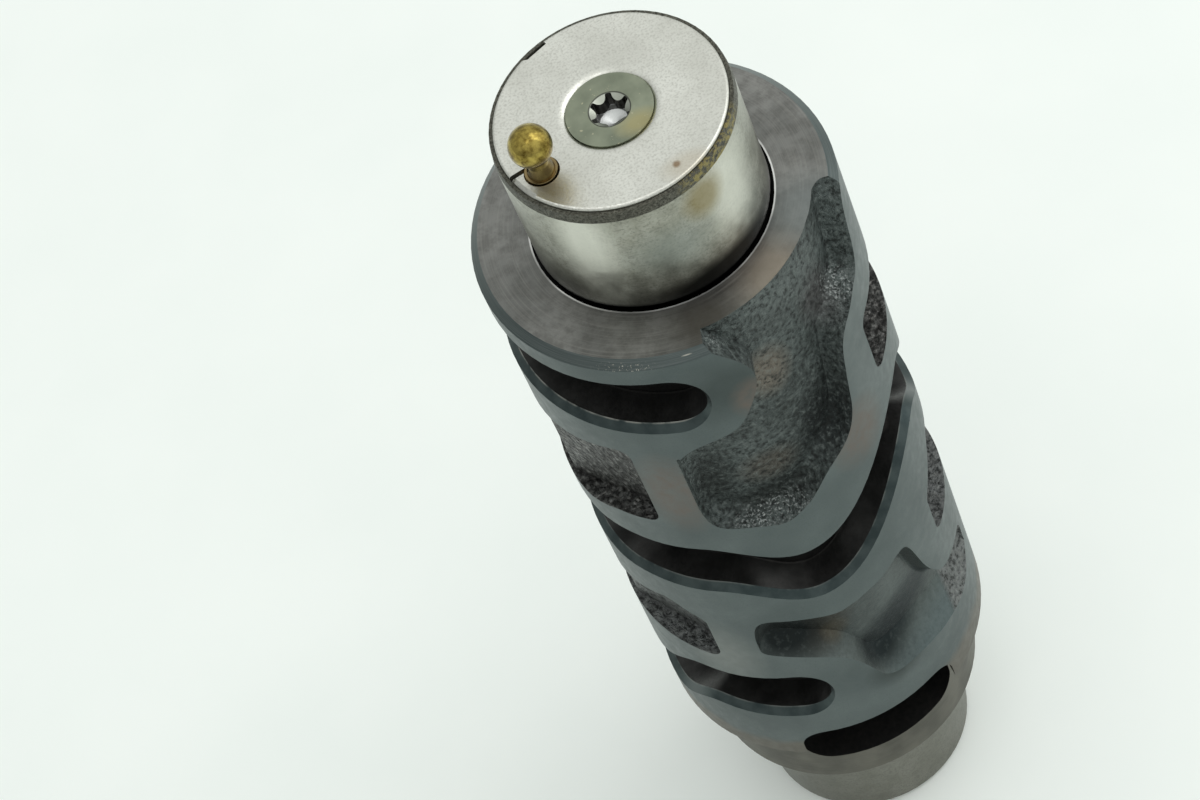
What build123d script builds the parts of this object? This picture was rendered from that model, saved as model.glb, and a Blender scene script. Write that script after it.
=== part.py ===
from build123d import *
from math import cos, pi, radians, sin
import os

os.makedirs("parts", exist_ok=True)

# A gear shift drum. Millimetres, +Z up along the drum's axis, origin in the middle of the flat lower end.
# Angles are in degrees round the axis from +X. The drum's front, with the two deep pockets, is at -90.

# Turned outline of the drum
LAND_R = 20.0
LAND_BOTTOM_Z = 29.0
SHOULDER_Z = 118.0
SHOULDER_CHAMFER = 0.95
LAND_CHAMFER = 0.4
NECK_R = 17.2
NECK_BOTTOM_Z = 17.4
LOWER_JOURNAL_R = 13.3
LOWER_CHAMFER = 0.8
UPPER_JOURNAL_R = 13.0
JOURNAL_TOP_Z = 133.7
END_FACE_Z = 134.9
END_FACE_R = 12.85
RELIEF_R = 12.7
RELIEF_OUTER_R = 13.3
RELIEF_DEPTH = 0.6
RELIEF_TOP_Z = 118.5
CENTRE_DRILL_R = 2.0
CENTRE_DRILL_DEPTH = 2.5

# Cam grooves for the shift forks' pins
PIN_SLOT_W = 8.0
GROOVE_FLOOR_R = 15.2
LIP = 0.9
CUT_CLEARANCE = 1.0
STATION_STEP = 7.0
GROOVE_A = [(-331, 109.5), (-292, 109.5), (-265, 103.5), (-222, 103.5), (-195, 109.5), (-109, 109.5)]
GROOVE_B = [(-235, 80), (-210, 80), (-187, 74.2), (-163, 74.2), (-140, 75), (-120, 75), (-86, 69.9), (-27, 81),
            (0, 75), (15, 75)]
GROOVE_C = [(-331, 44), (-215, 44), (-190, 38), (-172, 38), (-140, 44), (-110, 44)]

# As-cast pockets between the grooves. The two front ones are given as rows of stations round the drum:
# angle, lower edge, floor radius, and for the lower pocket also the foot of its ramp and its upper edge.
SIDE_FLOOR = 17.4
CORNER_R = 1.6
WALL_LEAN = 1.2
WALL_FILLET = 2.4
OPEN_ABOVE = 4.0
FRONT_FLOOR_R = 17.25
UPPER_POCKET = [(-114, 87.5, 19.2), (-112.5, 85.6, 18.2), (-110, 84.6, 17.5), (-104, 83.8, 17.25),
                (-96, 82.9, 17.25), (-88, 82.3, 17.25), (-81, 83.6, 17.25), (-74, 86, 17.25), (-66, 88, 17.25),
                (-59, 89.8, 17.25), (-56, 91.6, 17.25), (-54, 94.5, 17.25), (-52.5, 98, 17.25),
                (-51, 101, 17.25), (-48.5, 103.3, 17.25), (-44, 104.7, 17.25), (-38, 105.9, 17.25),
                (-32, 106.9, 17.25), (-28, 108.3, 17.25), (-26, 110.5, 17.25), (-24.5, 113.5, 17.25),
                (-22, 115.8, 17.25), (-17, 118, 17.25)]
LOWER_POCKET = [(-115.5, 55.6, 19.4, 56.6, 60), (-114, 54.9, 18.4, 56.8, 61.2), (-111, 54.4, 17.6, 56.6, 62.2),
                (-104, 53.4, 17.3, 55.6, 62), (-96, 51.9, 17.3, 54.2, 61.2), (-88, 49.4, 17.3, 52, 60.2),
                (-84, 46.8, 17.3, 50, 60), (-81, 44, 17.3, 47.8, 60.2), (-78.5, 42.2, 17.3, 46.2, 60.3),
                (-75, 41.3, 17.3, 45.5, 60.6), (-68, 41, 17.3, 45.4, 61), (-62, 40.9, 17.3, 45.5, 61.8),
                (-58, 40.7, 17.3, 45.5, 62.1), (-55.5, 40.6, 17.3, 45.4, 61.9), (-53.5, 40.4, 17.3, 45.3, 60.6),
                (-52, 40.3, 17.3, 45.2, 58.4), (-50.5, 40.2, 17.3, 45.1, 55.8), (-48.5, 40.1, 17.3, 44.9, 53.2),
                (-46, 39.9, 17.4, 44.7, 51.2), (-42.5, 39.6, 17.5, 44.4, 49.4), (-38.5, 39.3, 17.6, 44.1, 48.5),
                (-34, 39.2, 17.7, 43.8, 48), (-27, 39.6, 18, 43.6, 47.4), (-21, 41, 18.6, 43.7, 46.8),
                (-18, 41.5, 19.4, 43, 46)]
NOSE = [(-95, 120), (-88.3, 115.9), (-83.2, 113), (-81.3, 109.5), (-85.6, 105.7), (-92, 102.8), (-101, 101.7),
        (-112.4, 99.3)]
NOSE_FACING = -100
NOSE_BACK = -120
FOOT_R = 14.8
FOOT_CORE_R = 12.1
FOOT_OFFSET = 5.0
FOOT_FACING = -103
FOOT_Z = 103.5
FOOT_BOTTOM_Z = 86.0
FOOT_TOP_Z = 119.0
NOSE_START = 10.0

# Recess across the land's lower corner
RECESS_FACING = -84.75
CORNER_RECESS_W = 20.4
CORNER_RECESS_BOTTOM_Z = 22.4
CORNER_RECESS_TOP_Z = 34.4
CORNER_RECESS_FLOOR = 12.0
CORNER_RECESS_R = 3.0

# Bolted end plate
PLATE_R = 12.4
PLATE_SEAT_R = 12.45
SEAT_CLEARANCE = 0.1
PLATE_TOP_Z = 135.3
PLATE_T = 1.2
PLATE_EDGE_R = 0.3
DISH_R = 5.0
DISH_WALL = 1.3
DISH_EDGE_R = 1.2
PLATE_HOLE_R = 2.7
SLIT_W = 0.55
NOTCH_START = 106.5
NOTCH_END = 121.5
NOTCH_DEPTH = 0.55
NOTCH_FLOOR_END = 119.0
SLIT_X = -11.5
SLIT_Y = -3.24
SLIT_TURN = 10.4
SLIT_LENGTH = 3.0
WORN_START = -163.0
WORN_END = -147.0
WORN_W = 0.45
WORN_DROP = 0.5

# Countersunk end screw
SCREW_HEAD_R = 4.65
SCREW_TOP_Z = 135.25
SCREW_RIM = 0.25
SCREW_R = 2.45
SCREW_END_Z = 119.0
SCREW_HOLE_R = 2.5
SCREW_HOLE_BOTTOM_Z = 116.0
RECESS_R = 2.15
RECESS_LOBES = 6
RECESS_TURN = -13.0
RECESS_FLUTE_R = 0.85
RECESS_FLUTE_OFFSET = 2.36
RECESS_DEPTH = 2.0
RECESS_CONE_DEPTH = 0.4
RECESS_CORNER_R = 0.15
RECESS_MOUTH_R = 2.22
RECESS_MOUTH_FOOT_R = 1.5
RECESS_MOUTH_DEPTH = 0.5

# Sprung contact pin
CONTACT_X = -8.72
CONTACT_Y = -4.0
BALL_R = 2.3
BALL_Z = 139.7
CONTACT_NECK_R = 1.2
NECK_TOP_Z = 136.9
COLLAR_TOP_Z = 135.6
COLLAR_R = 1.75
NECK_FOOT_R = 1.5
PLATE_PIN_HOLE_R = 1.9
FLANGE_R = 2.2
FLANGE_TOP_Z = 134.05
FLANGE_BOTTOM_Z = 131.0
WELL_R = 2.3
WELL_BOTTOM_Z = 122.0
SPRING_WIRE_R = 0.22
SPRING_R = 1.7
SPRING_PITCH = 1.25


def radial_plane(angle):
    """Plane through the drum's axis: x runs outwards at the angle, y runs up."""
    a = radians(angle)
    return Plane(origin=(0, 0, 0), x_dir=(cos(a), sin(a), 0), z_dir=(sin(a), -cos(a), 0))


def facing_plane(angle, distance=0.0):
    """Plane square to the radius at the angle: x runs round the drum, y runs up, z runs outwards."""
    a = radians(angle)
    origin = (distance * cos(a), distance * sin(a), 0)
    return Plane(origin=origin, x_dir=(-sin(a), cos(a), 0), z_dir=(cos(a), sin(a), 0))


def flat_points(outline, facing):
    """Points of the land's surface, given as angle and height, seen square on from one side."""
    return [(LAND_R * sin(radians(angle - facing)), z) for angle, z in outline]


# Drum blank: both journals, the shoulder, the land and the neck in one turning
with BuildPart() as drum_body:
    with BuildSketch(Plane.XZ):
        with BuildLine():
            Polyline(
                (0, 0),
                (LOWER_JOURNAL_R - LOWER_CHAMFER, 0),
                (LOWER_JOURNAL_R, LOWER_CHAMFER),
                (LOWER_JOURNAL_R, NECK_BOTTOM_Z),
                (NECK_R, NECK_BOTTOM_Z),
                (NECK_R, LAND_BOTTOM_Z),
                (LAND_R - LAND_CHAMFER, LAND_BOTTOM_Z),
                (LAND_R, LAND_BOTTOM_Z + LAND_CHAMFER),
                (LAND_R, SHOULDER_Z - SHOULDER_CHAMFER),
                (LAND_R - SHOULDER_CHAMFER, SHOULDER_Z),
                (RELIEF_OUTER_R, SHOULDER_Z),
                (RELIEF_OUTER_R, SHOULDER_Z - RELIEF_DEPTH),
                (RELIEF_R, SHOULDER_Z - RELIEF_DEPTH),
                (RELIEF_R, RELIEF_TOP_Z),
                (UPPER_JOURNAL_R, RELIEF_TOP_Z),
                (UPPER_JOURNAL_R, JOURNAL_TOP_Z),
                (END_FACE_R, END_FACE_Z),
                (0, END_FACE_Z),
                close=True,
            )
        make_face()
    revolve(axis=Axis.Z)


# Cam grooves: each is cut along a rising and falling path, with bevelled lips and round ends
def groove_height(angle, path):
    """Height of a groove's middle: it eases from each given angle and height to the next."""
    for (a0, z0), (a1, z1) in zip(path, path[1:]):
        if a0 <= angle <= a1:
            ease = (1 - cos(pi * (angle - a0) / (a1 - a0))) / 2
            return z0 + (z1 - z0) * ease


def groove_section(angle, path):
    """Section of a groove, with its lips, on the plane through the axis at the angle."""
    z = groove_height(angle, path)
    half = PIN_SLOT_W / 2
    reach = LIP + CUT_CLEARANCE
    with BuildSketch(radial_plane(angle)) as section:
        with BuildLine():
            Polyline(
                (GROOVE_FLOOR_R, z - half),
                (LAND_R - LIP, z - half),
                (LAND_R + CUT_CLEARANCE, z - half - reach),
                (LAND_R + CUT_CLEARANCE, z + half + reach),
                (LAND_R - LIP, z + half),
                (GROOVE_FLOOR_R, z + half),
                close=True,
            )
        make_face()
    return section.sketch


def groove_end(angle, z):
    """Round end of a groove: the shape of the cutter that made it, standing on the radius."""
    half = PIN_SLOT_W / 2
    reach = LIP + CUT_CLEARANCE
    with BuildPart() as end:
        with BuildSketch(radial_plane(angle)):
            with BuildLine():
                Polyline(
                    (GROOVE_FLOOR_R, z),
                    (GROOVE_FLOOR_R, z + half),
                    (LAND_R - LIP, z + half),
                    (LAND_R + CUT_CLEARANCE, z + half + reach),
                    (LAND_R + CUT_CLEARANCE, z),
                    close=True,
                )
            make_face()
        a = radians(angle)
        revolve(axis=Axis((0, 0, z), (cos(a), sin(a), 0)))
    return end.part


def level_groove(start, end, path):
    """Cutter of a level stretch of a groove, turned round the drum's axis."""
    with BuildPart() as stretch:
        add(groove_section(start, path))
        revolve(axis=Axis.Z, revolution_arc=end - start)
    return stretch.part


def sloping_groove(start, end, path):
    """Cutter of a rising or falling stretch of a groove, lofted through its sections."""
    count = round((end - start) / STATION_STEP) + 1
    with BuildPart() as stretch:
        for i in range(count + 1):
            add(groove_section(start + (end - start) * i / count, path))
        loft()
    return stretch.part


def cam_groove(path):
    """Whole cutter of a cam groove, stretch by stretch from its first to its last angle."""
    with BuildPart() as groove:
        for (start, z0), (end, z1) in zip(path, path[1:]):
            if z0 == z1:
                add(level_groove(start, end, path))
            else:
                add(sloping_groove(start, end, path))
    return groove.part


for path in (GROOVE_A, GROOVE_B, GROOVE_C):
    with drum_body:
        add(cam_groove(path), mode=Mode.SUBTRACT)
        add(groove_end(*path[0]), mode=Mode.SUBTRACT)
        add(groove_end(*path[-1]), mode=Mode.SUBTRACT)


# As-cast pockets: shallow ones on both sides with a flat floor each, drawn out square to that floor
def side_pocket(outline, facing):
    """Cutter of a shallow pocket with a flat floor; the outline is given on the land's surface."""
    with BuildPart() as pocket:
        with BuildSketch(facing_plane(facing, SIDE_FLOOR)):
            with BuildLine():
                FilletPolyline(*flat_points(outline, facing), radius=CORNER_R, close=True)
            make_face()
        extrude(amount=LAND_R + CUT_CLEARANCE - SIDE_FLOOR)
    return pocket.part


upper_left = side_pocket([(-129, 100.6), (-129, 85.4), (-146, 84.6), (-160, 82.5), (-179, 81.5), (-179, 97)], -147)
upper_left_rear = side_pocket([(-169, 97), (-169, 81.5), (-188, 82), (-205, 87), (-219, 87), (-219, 96)], -201)
lower_left = side_pocket([(-130.5, 62), (-130.5, 53.2), (-179, 53.2), (-179, 60.5), (-164, 62.6), (-143, 65.2)], -147)
lower_left_rear = side_pocket([(-169, 61), (-169, 53.2), (-219, 53.2), (-219, 63)], -201)
upper_right = side_pocket([(-38, 100.8), (-38, 90.8), (12, 90.8), (12, 100.8)], -20)
upper_right_rear = side_pocket([(0, 100.8), (0, 90.8), (50, 90.8), (50, 100.8)], 32)
lower_right = side_pocket([(-37, 62.5), (-37, 55), (12, 54.4), (12, 67.7), (-20, 67.7)], -20)
lower_right_rear = side_pocket([(0, 67.7), (0, 54.4), (50, 54.4), (50, 67.7)], 32)
rear = side_pocket([(66, 54), (104, 54), (104, 95), (66, 95)], 85)

with drum_body:
    for pocket in (upper_left, upper_left_rear, lower_left, lower_left_rear, upper_right, upper_right_rear,
                   lower_right, lower_right_rear, rear):
        add(pocket, mode=Mode.SUBTRACT)


# Front pockets: their floors run round the drum, with leaning walls and filleted feet
def pocket_wall(floor_r, edge_z, inward):
    """Side wall of a front pocket's section, from outside the land down to the floor."""
    top = (LAND_R + LIP, edge_z - inward * LIP / 2)
    foot = (floor_r + WALL_LEAN, edge_z + inward * LIP / 2)
    wall = Line(top, foot)
    return TangentArc(foot, (floor_r, edge_z + inward * WALL_FILLET), tangent=wall % 1)


def upper_section(angle, low_z, floor_r):
    """Section of the upper front pocket, which runs out through the shoulder."""
    open_z = SHOULDER_Z + OPEN_ABOVE
    with BuildSketch(radial_plane(angle)) as section:
        with BuildLine():
            foot = pocket_wall(floor_r, low_z, 1)
            Polyline(foot @ 1, (floor_r, open_z), (LAND_R + LIP, open_z), (LAND_R + LIP, low_z - LIP / 2))
        make_face()
    return section.sketch


def lower_section(angle, low_z, floor_r, ramp_z, high_z):
    """Section of the lower front pocket, whose floor rises to the land along a ramp."""
    slope = (ramp_z - low_z) / (LAND_R - floor_r)
    with BuildSketch(radial_plane(angle)) as section:
        with BuildLine():
            foot = pocket_wall(floor_r, high_z, -1)
            Polyline(
                foot @ 1,
                (floor_r, ramp_z),
                (LAND_R + LIP, low_z - slope * LIP),
                (LAND_R + LIP, high_z + LIP / 2),
            )
        make_face()
    return section.sketch


with BuildPart() as upper_pocket:
    for station in UPPER_POCKET:
        add(upper_section(*station))
    loft()
    # The land round the end of the top groove stands out into the pocket, on a rounded foot
    with BuildSketch(facing_plane(NOSE_FACING, NOSE_START)):
        nose = flat_points(NOSE, NOSE_FACING)
        back_x = LAND_R * sin(radians(NOSE_BACK - NOSE_FACING))
        with BuildLine():
            Spline(*nose)
            Polyline(nose[-1], (back_x, nose[-1][1]), (back_x, nose[0][1]), nose[0])
        make_face()
    extrude(amount=LAND_R + LIP + CUT_CLEARANCE - NOSE_START, mode=Mode.SUBTRACT)
    foot_x = FOOT_OFFSET * cos(radians(FOOT_FACING))
    foot_y = FOOT_OFFSET * sin(radians(FOOT_FACING))
    with BuildSketch(Plane(origin=(foot_x, foot_y, 0), z_dir=(0, -1, 0))):
        bottom = (FOOT_CORE_R, FOOT_BOTTOM_Z)
        top = (FOOT_CORE_R, FOOT_TOP_Z)
        with BuildLine():
            Spline(bottom, (FOOT_R, FOOT_Z), top, tangents=[(0, 1), (0, 1)])
            Polyline(top, (0, FOOT_TOP_Z), (0, FOOT_BOTTOM_Z), bottom)
        make_face()
    revolve(axis=Axis((foot_x, foot_y, 0), (0, 0, 1)), mode=Mode.SUBTRACT)

with BuildPart() as lower_pocket:
    for station in LOWER_POCKET:
        add(lower_section(*station))
    loft()

with drum_body:
    add(upper_pocket.part, mode=Mode.SUBTRACT)
    add(lower_pocket.part, mode=Mode.SUBTRACT)

# Recess milled across the land's lower corner and into the neck
with drum_body:
    recess_middle = (CORNER_RECESS_BOTTOM_Z + CORNER_RECESS_TOP_Z) / 2
    recess_height = CORNER_RECESS_TOP_Z - CORNER_RECESS_BOTTOM_Z
    with BuildSketch(facing_plane(RECESS_FACING, CORNER_RECESS_FLOOR)):
        with Locations((0, recess_middle)):
            RectangleRounded(CORNER_RECESS_W, recess_height, CORNER_RECESS_R)
    extrude(amount=LAND_R + CUT_CLEARANCE - CORNER_RECESS_FLOOR, mode=Mode.SUBTRACT)

# Upper end: the plate's seat with its cone, the screw's hole and the contact pin's well
PLATE_BOTTOM_Z = PLATE_TOP_Z - PLATE_T
DISH_UNDER_R = DISH_R - PLATE_T + DISH_WALL
with drum_body:
    with BuildSketch(Plane.XZ):
        sink_r = DISH_UNDER_R + SEAT_CLEARANCE
        with BuildLine():
            Polyline(
                (0, END_FACE_Z + CUT_CLEARANCE),
                (PLATE_SEAT_R, END_FACE_Z + CUT_CLEARANCE),
                (PLATE_SEAT_R, PLATE_BOTTOM_Z),
                (sink_r, PLATE_BOTTOM_Z),
                (SCREW_HOLE_R, PLATE_BOTTOM_Z - (sink_r - SCREW_HOLE_R)),
                (SCREW_HOLE_R, SCREW_HOLE_BOTTOM_Z),
                (0, SCREW_HOLE_BOTTOM_Z - SCREW_HOLE_R / 2),
                close=True,
            )
        make_face()
    revolve(axis=Axis.Z, mode=Mode.SUBTRACT)
    with BuildSketch(Plane.XY.offset(WELL_BOTTOM_Z)):
        with Locations((CONTACT_X, CONTACT_Y)):
            Circle(WELL_R)
    extrude(amount=END_FACE_Z - WELL_BOTTOM_Z, mode=Mode.SUBTRACT)
    with BuildSketch(Plane.XZ):
        with BuildLine():
            Polyline((0, 0), (CENTRE_DRILL_R, 0), (0, CENTRE_DRILL_DEPTH), close=True)
        make_face()
    revolve(axis=Axis.Z, mode=Mode.SUBTRACT)

drum_body.part.label = "drum_body"
export_step(drum_body.part, "parts/drum_body.step")


# End plate: a stamped disc, dished for the screw, with the pin's hole, its slit and a notch in the rim
def rim_point(angle, radius):
    """Point at an angle and radius on a plane square to the axis."""
    return (radius * cos(radians(angle)), radius * sin(radians(angle)))


with BuildPart() as end_plate:
    with BuildSketch(Plane.XZ) as disc:
        with BuildLine():
            Polyline(
                (PLATE_HOLE_R, PLATE_TOP_Z - (DISH_R - PLATE_HOLE_R)),
                (DISH_R, PLATE_TOP_Z),
                (PLATE_R, PLATE_TOP_Z),
                (PLATE_R, PLATE_BOTTOM_Z),
                (DISH_UNDER_R, PLATE_BOTTOM_Z),
                (PLATE_HOLE_R, PLATE_BOTTOM_Z - (DISH_UNDER_R - PLATE_HOLE_R)),
                close=True,
            )
        make_face()
        corners = disc.vertices().sort_by_distance((DISH_R, PLATE_TOP_Z))
        fillet(corners[1:], radius=PLATE_EDGE_R)
        dish_corner = disc.vertices().sort_by_distance((DISH_R, PLATE_TOP_Z))[0]
        fillet(dish_corner, radius=DISH_EDGE_R)
    revolve(axis=Axis.Z)
    with BuildSketch(Plane.XY.offset(PLATE_BOTTOM_Z)):
        with Locations((CONTACT_X, CONTACT_Y)):
            Circle(PLATE_PIN_HOLE_R)
        with Locations(Location((SLIT_X, SLIT_Y, 0), SLIT_TURN)):
            Rectangle(SLIT_LENGTH, SLIT_W)
        with BuildLine():
            Polyline(
                rim_point(NOTCH_START, PLATE_R - NOTCH_DEPTH),
                rim_point(NOTCH_START, PLATE_R + CUT_CLEARANCE),
                rim_point(NOTCH_END, PLATE_R + CUT_CLEARANCE),
                rim_point(NOTCH_END, PLATE_R),
                rim_point(NOTCH_FLOOR_END, PLATE_R - NOTCH_DEPTH),
                close=True,
            )
        make_face()
    extrude(amount=PLATE_T, mode=Mode.SUBTRACT)
    # The rim beside the slit is worn down to a slant
    with BuildSketch(radial_plane(WORN_START)):
        with BuildLine():
            Polyline(
                (PLATE_R - WORN_W, PLATE_TOP_Z),
                (PLATE_R, PLATE_TOP_Z - WORN_DROP),
                (PLATE_R, PLATE_TOP_Z),
                close=True,
            )
        make_face()
    revolve(axis=Axis.Z, revolution_arc=WORN_END - WORN_START, mode=Mode.SUBTRACT)

end_plate.part.label = "end_plate"
export_step(end_plate.part, "parts/end_plate.step")

# End screw: countersunk head with a six-lobe recess, whose mouth is a cone
with BuildPart() as end_screw:
    with BuildSketch(Plane.XZ):
        cone_z = SCREW_TOP_Z - SCREW_RIM
        with BuildLine():
            Polyline(
                (0, SCREW_TOP_Z),
                (SCREW_HEAD_R, SCREW_TOP_Z),
                (SCREW_HEAD_R, cone_z),
                (SCREW_R, cone_z - (SCREW_HEAD_R - SCREW_R)),
                (SCREW_R, SCREW_END_Z),
                (0, SCREW_END_Z),
                close=True,
            )
        make_face()
    revolve(axis=Axis.Z)
    with BuildSketch(Plane.XY.offset(SCREW_TOP_Z)) as recess:
        Circle(RECESS_R)
        with PolarLocations(RECESS_FLUTE_OFFSET, RECESS_LOBES, start_angle=RECESS_TURN):
            Circle(RECESS_FLUTE_R, mode=Mode.SUBTRACT)
        fillet(recess.vertices(), radius=RECESS_CORNER_R)
    extrude(amount=-RECESS_DEPTH, mode=Mode.SUBTRACT)
    with Locations((0, 0, SCREW_TOP_Z - RECESS_DEPTH - RECESS_CONE_DEPTH / 2)):
        Cone(0, RECESS_FLUTE_OFFSET - RECESS_FLUTE_R, RECESS_CONE_DEPTH, mode=Mode.SUBTRACT)
    with Locations((0, 0, SCREW_TOP_Z - RECESS_MOUTH_DEPTH / 2)):
        Cone(RECESS_MOUTH_FOOT_R, RECESS_MOUTH_R, RECESS_MOUTH_DEPTH, mode=Mode.SUBTRACT)

end_screw.part.label = "end_screw"
export_step(end_screw.part, "parts/end_screw.step")

# Contact pin: a ball on a neck, a collar in the plate's hole and a flange that stays under the plate
with BuildPart() as contact_pin:
    with BuildSketch(Plane.XZ):
        with BuildLine():
            Polyline(
                (0, FLANGE_BOTTOM_Z),
                (FLANGE_R, FLANGE_BOTTOM_Z),
                (FLANGE_R, FLANGE_TOP_Z),
                (COLLAR_R, FLANGE_TOP_Z),
                (COLLAR_R, COLLAR_TOP_Z),
                (NECK_FOOT_R, COLLAR_TOP_Z),
                (CONTACT_NECK_R, NECK_TOP_Z),
                (CONTACT_NECK_R, BALL_Z),
                (0, BALL_Z),
                close=True,
            )
        make_face()
    revolve(axis=Axis.Z)
    with Locations((0, 0, BALL_Z)):
        Sphere(BALL_R)

contact_pin.part = contact_pin.part.moved(Location((CONTACT_X, CONTACT_Y, 0)))
contact_pin.part.label = "contact_pin"
export_step(contact_pin.part, "parts/contact_pin.step")

# Contact spring: pushes the pin up from the bottom of its well
with BuildPart() as contact_spring:
    spring_length = FLANGE_BOTTOM_Z - WELL_BOTTOM_Z - 2 * SPRING_WIRE_R
    with BuildLine() as coil:
        Helix(SPRING_PITCH, spring_length, SPRING_R, center=(CONTACT_X, CONTACT_Y, WELL_BOTTOM_Z + SPRING_WIRE_R))
    with BuildSketch(Plane(origin=coil.line @ 0, z_dir=coil.line % 0)):
        Circle(SPRING_WIRE_R)
    sweep()

contact_spring.part.label = "contact_spring"
export_step(contact_spring.part, "parts/contact_spring.step")
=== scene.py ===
import bmesh
import bpy
from math import cos, hypot, radians, sin
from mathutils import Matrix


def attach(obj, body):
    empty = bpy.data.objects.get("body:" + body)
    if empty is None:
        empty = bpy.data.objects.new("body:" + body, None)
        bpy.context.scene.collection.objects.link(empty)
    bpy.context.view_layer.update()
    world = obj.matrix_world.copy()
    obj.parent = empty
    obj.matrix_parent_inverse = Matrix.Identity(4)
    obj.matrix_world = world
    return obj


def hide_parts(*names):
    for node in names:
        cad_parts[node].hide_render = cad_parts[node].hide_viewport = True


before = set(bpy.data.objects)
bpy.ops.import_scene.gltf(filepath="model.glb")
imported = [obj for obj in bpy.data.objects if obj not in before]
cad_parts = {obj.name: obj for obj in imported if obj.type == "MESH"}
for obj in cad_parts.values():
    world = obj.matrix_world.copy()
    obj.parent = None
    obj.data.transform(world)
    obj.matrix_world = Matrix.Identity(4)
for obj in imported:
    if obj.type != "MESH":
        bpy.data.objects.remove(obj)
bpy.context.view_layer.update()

# Camera
# It looks down on the drum's upper end from the front, rolled so that the drum leans across the picture.
CAMERA_PLACE = (0, -0.2348, 0.4174)
CAMERA_TURN = (32.828, 14.724, -18.155)
LENS_MM = 108.36
SENSOR_MM = 36

bpy.ops.object.select_all(action="DESELECT")
bpy.ops.object.camera_add(location=CAMERA_PLACE, rotation=[radians(a) for a in CAMERA_TURN])
camera = bpy.context.object
camera.name = "camera"
camera.data.lens = LENS_MM
camera.data.sensor_width = SENSOR_MM
bpy.context.scene.camera = camera

# Drum body
# One steel casting, turned all over outside, with milled cam grooves and pockets left as cast.
# The whole drum was then darkened by an oxide finish, and both journals were ground again.
# Radii and heights of its surfaces, in metres
LAND_R = 0.020
LAND_EDGE_Z = 0.0294
LIP_R = 0.0191
LIP_LEAST_R = 0.0185
GROOVE_FLOOR_MOST_R = 0.0166
GROOVE_FLOOR_R = 0.0152
CAST_R = 0.0175
NECK_R = 0.0172
NECK_BOTTOM_Z = 0.0174
SHOULDER_Z = 0.118
SHOULDER_EDGE_Z = 0.11705
SHOULDER_MIDDLE_R = 0.0165
SHOULDER_CHAMFER_R = 0.01905
RELIEF_R = 0.0134
JOURNAL_R = 0.013
JOURNAL_TOP_Z = 0.1337
RECESS_FLOOR = 0.012
RECESS_TOP_Z = 0.0345
# Angles, and how squarely a lip looks outwards at least
RECESS_FACING = radians(-84.75)
SMOOTH = radians(24)
LIP_FACING = 0.4
# Distances within which points count as one, and as lying on a surface
DOUBLES = 1e-6
NEAR = 3e-5

drum = bpy.data.objects.new("drum_casting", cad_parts["drum_body"].data.copy())
drum.data.materials.clear()
bpy.context.scene.collection.objects.link(drum)
bpy.context.view_layer.objects.active = drum
drum.select_set(True)
bpy.ops.object.mode_set(mode="EDIT")
bpy.ops.mesh.select_all(action="SELECT")
bpy.ops.mesh.customdata_custom_splitnormals_clear()
bpy.ops.mesh.remove_doubles(threshold=DOUBLES)
bpy.ops.object.mode_set(mode="OBJECT")
bpy.ops.object.shade_smooth_by_angle(angle=SMOOTH)


def radius(point):
    """Distance of a point from the drum's axis."""
    return hypot(point.x, point.y)


def turned_surface(face):
    """Name of the turned surface that a face lies on, or None for a face of a groove, pocket or recess."""
    radii = [radius(vertex.co) for vertex in face.verts]
    heights = [vertex.co.z for vertex in face.verts]
    low, high = min(heights), max(heights)
    if low > JOURNAL_TOP_Z - NEAR:
        return "rough_band"
    if low > SHOULDER_Z - NEAR and high < SHOULDER_Z + NEAR and max(radii) > RELIEF_R - NEAR:
        return "shoulder"
    if low > SHOULDER_EDGE_Z and max(radii) < RELIEF_R:
        return "journal"
    if min(radii) > LAND_R - NEAR:
        return "land"
    if all(abs(r + z - SHOULDER_CHAMFER_R - SHOULDER_Z) < NEAR for r, z in zip(radii, heights)):
        return "chamfer"
    if high < NECK_BOTTOM_Z + NEAR:
        return "journal"
    if high < LAND_EDGE_Z + NEAR and min(radii) > NECK_R - NEAR:
        return "neck"
    return None


def outward(face):
    """How squarely a face looks away from the drum's axis: 1 on the land and 0 on a groove's side walls."""
    middle = face.calc_center_median()
    return (face.normal.x * middle.x + face.normal.y * middle.y) / radius(middle)


def grow(seeds, turned):
    """All cut faces that can be reached over edges from the seeds without crossing a turned surface."""
    found = set(seeds)
    front = list(seeds)
    while front:
        face = front.pop()
        for edge in face.edges:
            for neighbour in edge.link_faces:
                if neighbour not in found and turned[neighbour] is None:
                    found.add(neighbour)
                    front.append(neighbour)
    return found


def on_recess_floor(vertex):
    """Whether a point lies on the flat floor of the recess at the land's lower corner."""
    depth = vertex.co.x * cos(RECESS_FACING) + vertex.co.y * sin(RECESS_FACING)
    return abs(depth - RECESS_FLOOR) < NEAR and vertex.co.z < RECESS_TOP_Z


SURFACES = [
    "land", "shoulder", "chamfer", "journal", "rough_band",
    "neck", "groove", "lip", "recess", "cast",
]
casting = bmesh.new()
casting.from_mesh(drum.data)
turned = {face: turned_surface(face) for face in casting.faces}
recess = grow([f for f in casting.faces if all(on_recess_floor(v) for v in f.verts)], turned)
floors = [f for f, name in turned.items() if name is None and f not in recess
          and max(radius(v.co) for v in f.verts) < GROOVE_FLOOR_MOST_R]
grooves = grow(floors, turned)
for face in casting.faces:
    name = turned[face] or "cast"
    if face in recess:
        name = "recess"
    if face in grooves:
        bevelled = outward(face) > LIP_FACING and radius(face.calc_center_median()) > LIP_LEAST_R
        name = "lip" if bevelled else "groove"
    face.material_index = SURFACES.index(name)
casting.to_mesh(drum.data)
casting.free()


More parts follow.
